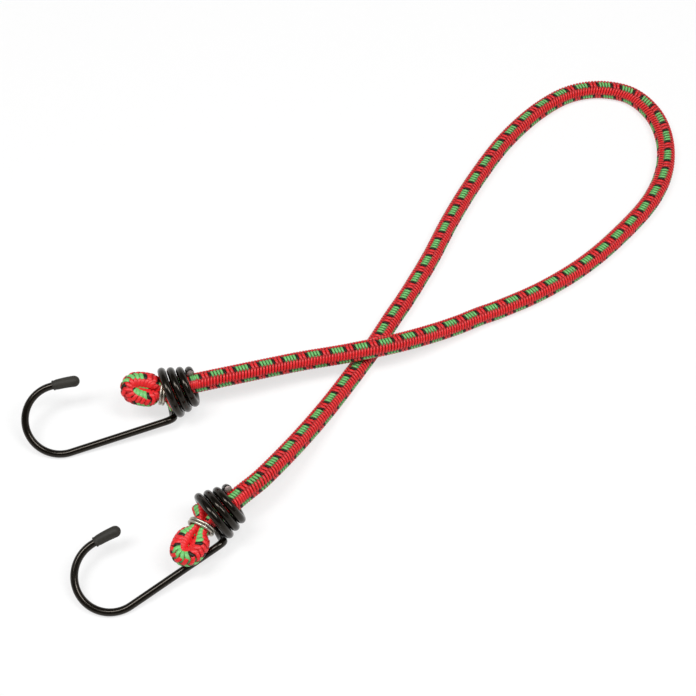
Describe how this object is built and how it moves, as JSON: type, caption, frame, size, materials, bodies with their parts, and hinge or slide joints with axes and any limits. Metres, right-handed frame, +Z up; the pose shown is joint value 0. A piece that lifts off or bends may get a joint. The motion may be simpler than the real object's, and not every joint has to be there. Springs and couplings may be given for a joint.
{
  "type": "bungee cord",
  "caption": "Elastic cord with a braided sheath round rubber strands, folded and clamped at each end into the conical coil of a wire hook that ends in an open J with a soft tip cap.",
  "frame": {"origin": "on the surface that the cord lies on, under the middle of its box", "axes": "+Z up from the surface, +X to the right and +Y away as the picture shows the cord"},
  "size_m": [0.2826, 0.2628, 0.0224],
  "materials": {
    "braid": "matte, red yarn with rows of green and black",
    "latex": "matte, natural",
    "hook_lacquer": "gloss black lacquer",
    "cap_vinyl": "matte, dark warm grey",
    "clamp_wire": "bright, galvanised"
  },
  "bodies": {
    "loop": {"sheath_loop": "braid", "strand_loop_1": "latex", "strand_loop_2": "latex", "strand_loop_3": "latex", "strand_loop_4": "latex"},
    "upper_leg": {"sheath_upper_leg": "braid", "strand_upper_leg_1": "latex", "strand_upper_leg_2": "latex", "strand_upper_leg_3": "latex", "strand_upper_leg_4": "latex"},
    "upper_end": {"sheath_upper_eye": "braid", "strand_upper_eye_1": "latex", "strand_upper_eye_2": "latex", "strand_upper_eye_3": "latex", "strand_upper_eye_4": "latex", "upper_clamp": "clamp_wire"},
    "upper_hook": {"upper_hook_wire": "hook_lacquer", "upper_tip_cap": "cap_vinyl"},
    "lower_leg": {"sheath_lower_leg": "braid", "strand_lower_leg_1": "latex", "strand_lower_leg_2": "latex", "strand_lower_leg_3": "latex", "strand_lower_leg_4": "latex"},
    "lower_end": {"sheath_lower_eye": "braid", "strand_lower_eye_1": "latex", "strand_lower_eye_2": "latex", "strand_lower_eye_3": "latex", "strand_lower_eye_4": "latex", "lower_clamp": "clamp_wire"},
    "lower_hook": {"lower_hook_wire": "hook_lacquer", "lower_tip_cap": "cap_vinyl"}
  },
  "joints": [
    {"name": "upper_leg_bend", "type": "hinge", "parent": "loop", "child": "upper_leg", "pos_m": [-0.017, -0.023, 0.0113], "axis": [0, 0, 1], "range_deg": [-40, 5], "deforming": ["sheath_upper_leg", "strand_upper_leg_1", "strand_upper_leg_2", "strand_upper_leg_3", "strand_upper_leg_4"]},
    {"name": "upper_leg_stretch", "type": "slide", "parent": "upper_leg", "child": "upper_end", "axis": [-0.97, -0.2431, 0], "range_m": [0, 0.05], "stiffness_N_per_m": 2000, "deforming": ["sheath_upper_leg", "strand_upper_leg_1", "strand_upper_leg_2", "strand_upper_leg_3", "strand_upper_leg_4"]},
    {"name": "upper_hook_swivel", "type": "hinge", "parent": "upper_end", "child": "upper_hook", "pos_m": [-0.0841, -0.0412, 0.01128], "axis": [0.9444, 0.3105, 0.108], "range_deg": [-135, 135]},
    {"name": "lower_leg_bend", "type": "hinge", "parent": "loop", "child": "lower_leg", "pos_m": [-0.0103, -0.0316, 0.0032], "axis": [0, 0, 1], "range_deg": [-5, 40], "deforming": ["sheath_lower_leg", "strand_lower_leg_1", "strand_lower_leg_2", "strand_lower_leg_3", "strand_lower_leg_4"]},
    {"name": "lower_leg_stretch", "type": "slide", "parent": "lower_leg", "child": "lower_end", "axis": [-0.5902, -0.8073, 0], "range_m": [0, 0.065], "stiffness_N_per_m": 1600, "deforming": ["sheath_lower_leg", "strand_lower_leg_1", "strand_lower_leg_2", "strand_lower_leg_3", "strand_lower_leg_4"]},
    {"name": "lower_hook_swivel", "type": "hinge", "parent": "lower_end", "child": "lower_hook", "pos_m": [-0.0635, -0.0959, 0.01115], "axis": [0.817, 0.5573, 0.1478], "range_deg": [0, 240]}
  ]
}
